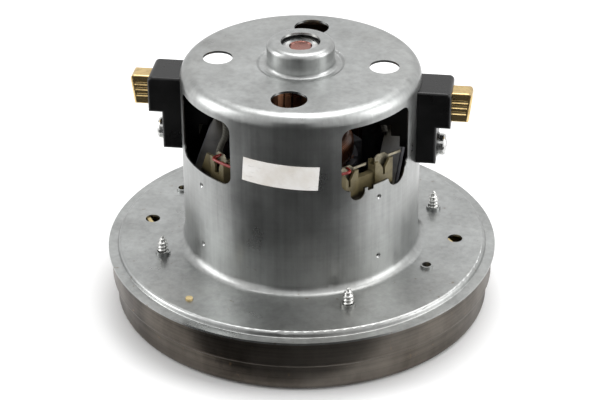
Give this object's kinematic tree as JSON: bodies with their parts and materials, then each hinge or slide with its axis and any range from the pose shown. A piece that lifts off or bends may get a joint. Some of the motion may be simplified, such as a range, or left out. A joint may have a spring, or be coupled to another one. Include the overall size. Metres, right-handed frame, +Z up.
{
  "type": "vacuum motor unit",
  "caption": "Universal motor in a drawn steel can with flange, side brush holders and air windows, driving an enclosed centrifugal fan",
  "frame": {"origin": "centre of the fan cover's flat bottom face, on the shaft's axis", "axes": "+Z up along the shaft, towards the bearing boss; brush holders along X; front of the picture towards -Y"},
  "size_m": [0.1398, 0.1398, 0.0991],
  "materials": {
    "zinc_steel": "zinc-plated deep-drawn sheet, satin",
    "bracket_steel": "pressed sheet, satin",
    "screw_zinc": "bright zinc plating",
    "cream_nylon": "moulded nylon, natural cream",
    "diffuser_nylon": "moulded glass-filled nylon",
    "black_moulding": "black thermoset, fine matt",
    "sleeve_brass": "drawn brass, slightly dull",
    "lamination": "stacked electrical sheet, bare edges",
    "copper_wire": "enamelled copper wire",
    "commutator_copper": "turned copper",
    "terminal_tin": "tinned brass",
    "red_insulation": "extruded wire insulation",
    "label_paper": "blank paper",
    "carbon": "pressed graphite",
    "spring_steel": "drawn spring wire",
    "bearing_steel": "ground bearing steel",
    "shaft_steel": "turned and ground steel",
    "fan_aluminium": "rolled aluminium sheet",
    "insulating_resin": "phenolic moulding"
  },
  "bodies": {
    "stator": {"motor_frame": "zinc_steel", "fan_cover": "zinc_steel", "bearing_bracket": "bracket_steel", "diffuser": "diffuser_nylon", "diffuser_screws": "screw_zinc", "stator_core": "lamination", "insulator_top": "cream_nylon", "insulator_bottom": "cream_nylon", "field_coil_front": "copper_wire", "field_coil_rear": "copper_wire", "field_turns_front": "copper_wire", "field_turns_rear": "copper_wire", "coil_terminals": "terminal_tin", "jumper_lead_front": "red_insulation", "jumper_lead_rear": "red_insulation", "brush_holder_left": "black_moulding", "brush_holder_right": "black_moulding", "holder_screws": "screw_zinc", "brush_sleeve_left": "sleeve_brass", "brush_sleeve_right": "sleeve_brass", "paper_label": "label_paper", "preload_washer": "spring_steel", "brush_shunt_left": "copper_wire", "brush_shunt_right": "copper_wire", "brush_spring_left": "spring_steel", "brush_spring_right": "spring_steel", "upper_bearing_outer": "bearing_steel", "upper_bearing_shields": "bracket_steel", "lower_bearing_outer": "bearing_steel", "lower_bearing_shields": "bracket_steel"},
    "rotor": {"shaft": "shaft_steel", "armature_core": "lamination", "armature_winding": "copper_wire", "slot_wedges": "insulating_resin", "armature_end_discs": "insulating_resin", "commutator_hub": "insulating_resin", "commutator_bars": "commutator_copper", "commutator_spacer": "bracket_steel", "fan_back_plate": "fan_aluminium", "fan_front_plate": "fan_aluminium", "fan_blades": "fan_aluminium", "fan_washers": "bracket_steel", "fan_spacer": "bracket_steel", "fan_nut": "screw_zinc", "upper_bearing_inner": "bearing_steel", "lower_bearing_inner": "bearing_steel"},
    "upper_cage": {"upper_bearing_balls": "bearing_steel", "upper_bearing_cage": "bracket_steel"},
    "lower_cage": {"lower_bearing_balls": "bearing_steel", "lower_bearing_cage": "bracket_steel"},
    "brush_right": {"carbon_brush_right": "carbon"},
    "brush_left": {"carbon_brush_left": "carbon"}
  },
  "joints": [
    {"name": "rotor_spin", "type": "hinge", "parent": "stator", "child": "rotor", "pos_m": [0, 0, 0.0555], "axis": [0, 0, 1], "continuous": true},
    {"name": "upper_cage_spin", "type": "hinge", "parent": "stator", "child": "upper_cage", "pos_m": [0, 0, 0.0939], "axis": [0, 0, 1], "continuous": true},
    {"name": "lower_cage_spin", "type": "hinge", "parent": "stator", "child": "lower_cage", "pos_m": [0, 0, 0.0195], "axis": [0, 0, 1], "continuous": true},
    {"name": "brush_right_slide", "type": "slide", "parent": "stator", "child": "brush_right", "axis": [1, 0, 0], "range_m": [0, 0.006], "stiffness_N_per_m": 120, "springref_m": -0.028, "deforming": ["brush_spring_right", "brush_shunt_right"]},
    {"name": "brush_left_slide", "type": "slide", "parent": "stator", "child": "brush_left", "axis": [-1, 0, 0], "range_m": [0, 0.006], "stiffness_N_per_m": 120, "springref_m": -0.028, "deforming": ["brush_spring_left", "brush_shunt_left"]}
  ],
  "couplings": [
    {"joint": "upper_cage_spin", "follows": "rotor_spin", "ratio": 0.3677},
    {"joint": "lower_cage_spin", "follows": "rotor_spin", "ratio": 0.3677}
  ]
}
